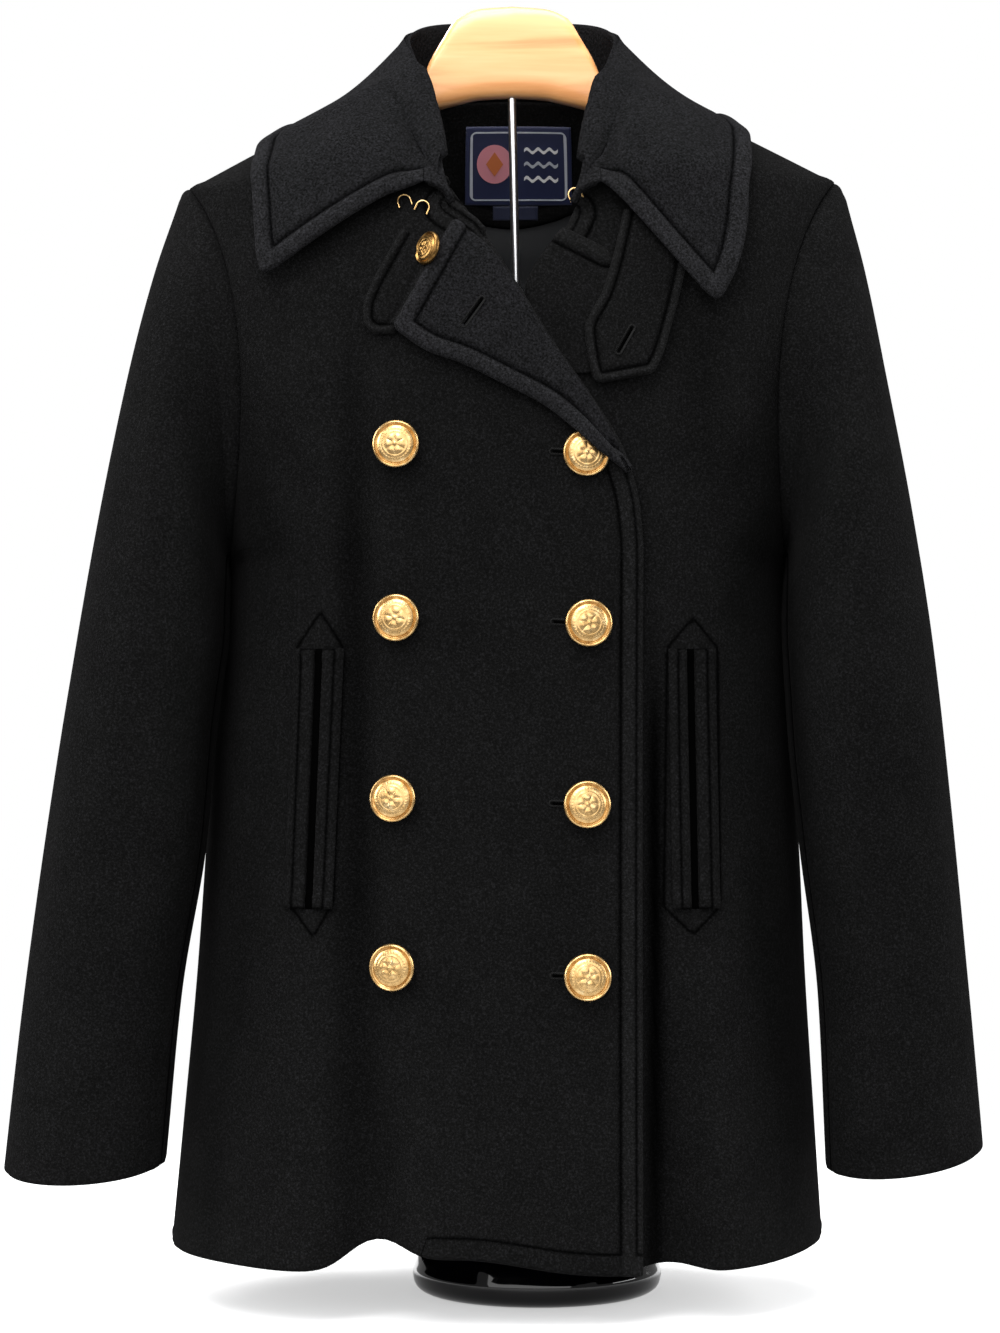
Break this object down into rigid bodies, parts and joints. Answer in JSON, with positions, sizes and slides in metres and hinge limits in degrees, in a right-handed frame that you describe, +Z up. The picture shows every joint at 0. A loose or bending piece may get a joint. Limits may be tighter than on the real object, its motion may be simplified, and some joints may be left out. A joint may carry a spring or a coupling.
{
  "type": "pea coat on a wooden-shouldered display stand",
  "caption": "Slim double-breasted pea coat in black melton with a wide collar, throat tabs, gilt buttons and welt pockets, on a wooden shoulder piece, slim pole and round base",
  "frame": {"origin": "centre of the flat foot under the base, where the stand rests on its surface", "axes": "+Z up; the coat's front faces -Y; +X is the right-hand side seen from the front, the wearer's left. The coat's centre line stands 15.5 mm to -X of the origin"},
  "size_m": [0.5941, 0.2771, 0.8017],
  "materials": {
    "melton": "black wool melton, fulled and slightly hairy, with a fine grey heather",
    "lining": "dark grey twill lining",
    "label": "navy woven label",
    "gilt": "satin gilt brass",
    "beech": "pale beech, satin varnish",
    "steel": "polished",
    "black_enamel": "black gloss enamel"
  },
  "bodies": {
    "root": {"right_front": "melton", "left_front": "melton", "back": "melton", "left_top_sleeve": "melton", "left_under_sleeve": "melton", "right_top_sleeve": "melton", "right_under_sleeve": "melton", "collar": "melton", "right_lapel": "melton", "left_lapel": "melton", "left_tab": "melton", "right_tab": "melton", "left_pocket_inner_welt": "melton", "left_pocket_outer_welt": "melton", "right_pocket_inner_welt": "melton", "right_pocket_outer_welt": "melton", "back_neck_facing": "melton", "back_lining": "lining", "neck_label": "label", "size_tab": "label", "button_left_1": "gilt", "button_left_2": "gilt", "button_left_3": "gilt", "button_left_4": "gilt", "button_right_1": "gilt", "button_right_2": "gilt", "button_right_3": "gilt", "button_right_4": "gilt", "tab_button": "gilt", "hook_1": "gilt", "hook_2": "gilt", "eye": "gilt", "shoulder_piece": "beech", "pole": "steel", "base": "black_enamel"}
  },
  "joints": []
}
